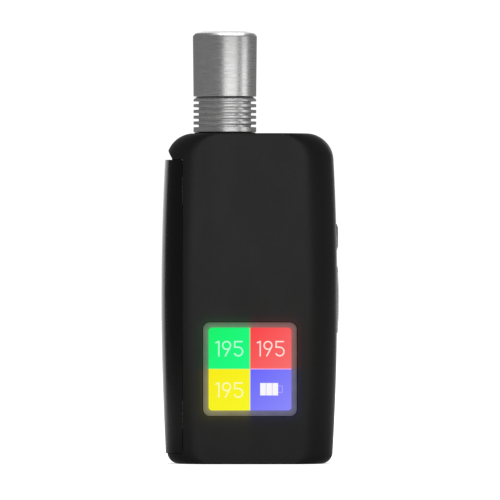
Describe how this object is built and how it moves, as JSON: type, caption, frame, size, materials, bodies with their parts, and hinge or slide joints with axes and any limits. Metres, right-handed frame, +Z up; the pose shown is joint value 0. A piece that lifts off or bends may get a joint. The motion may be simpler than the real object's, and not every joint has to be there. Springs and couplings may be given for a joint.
{
  "type": "portable vaporizer",
  "caption": "Upright pocket vaporizer: matte black box with a turned finned metal stem on top, small lit colour display, removable end cover, round button and long rocker.",
  "frame": {"origin": "centre of the flat bottom face of the housing", "axes": "+Z up along the stem, -Y out of the display, +X towards the buttons"},
  "size_m": [0.05, 0.026, 0.1221],
  "materials": {
    "coated_metal": "matte black powder coat",
    "cover_plastic": "smooth black lacquer",
    "turned_steel": "turned, fine rings",
    "satin_metal": "satin",
    "mesh_steel": "woven mesh",
    "seal_rubber": "matte black silicone",
    "lens_glass": "clear",
    "bezel_plastic": "pale grey",
    "display": "lit colour display",
    "frame_plastic": "moulded black",
    "cell_wrap": "shrink wrap",
    "nickel": "nickel plated",
    "magnet": "plated magnet",
    "ribbon": "woven ribbon",
    "insulation": "matte",
    "ceramic": "smooth",
    "board": "solder mask",
    "component": "moulded black"
  },
  "bodies": {
    "housing": {"body_shell": "coated_metal", "frame_magnet_lower": "magnet", "frame_magnet_upper": "magnet", "battery_frame": "frame_plastic", "battery_cell_outer": "cell_wrap", "battery_cell_inner": "cell_wrap", "contact_spring_outer": "nickel", "contact_spring_inner": "nickel", "contact_plate_outer": "nickel", "contact_plate_inner": "nickel", "pull_ribbon": "ribbon", "stem_seal": "seal_rubber", "heater_cup": "satin_metal", "heating_element": "ceramic", "heater_sleeve": "insulation", "heat_shield": "insulation", "display_lens": "lens_glass", "display_bezel": "bezel_plastic", "display_panel": "display", "power_button_ring": "satin_metal", "power_switch": "component", "rocker_switch_upper": "component", "rocker_switch_lower": "component", "main_board": "board", "controller_chip": "component", "power_inductor": "component", "haptic_motor": "nickel", "board_screw_upper": "nickel", "board_screw_lower": "nickel", "usb_port": "nickel", "usb_tongue": "component"},
    "side_cover": {"side_cover": "cover_plastic", "cover_magnet_lower": "magnet", "cover_magnet_upper": "magnet"},
    "stem": {"mouthpiece": "turned_steel", "cooling_stem": "turned_steel", "stem_screen": "mesh_steel", "stem_oring_lower": "seal_rubber", "stem_oring_upper": "seal_rubber"},
    "power_button": {"power_button": "satin_metal"},
    "rocker_button": {"rocker_button": "satin_metal"}
  },
  "joints": [
    {"name": "cover_pull", "type": "slide", "parent": "housing", "child": "side_cover", "axis": [-1, 0, 0], "range_m": [0, 0.015]},
    {"name": "stem_pull", "type": "slide", "parent": "housing", "child": "stem", "axis": [0, 0, 1], "range_m": [0, 0.025]},
    {"name": "power_press", "type": "slide", "parent": "housing", "child": "power_button", "axis": [-1, 0, 0], "range_m": [0, 0.00025], "stiffness_N_per_m": 5000},
    {"name": "rocker_tilt", "type": "hinge", "parent": "housing", "child": "rocker_button", "pos_m": [0.0222, 0, 0.0462], "axis": [0, 1, 0], "range_deg": [-2, 2], "stiffness_Nm_per_rad": 0.3}
  ]
}
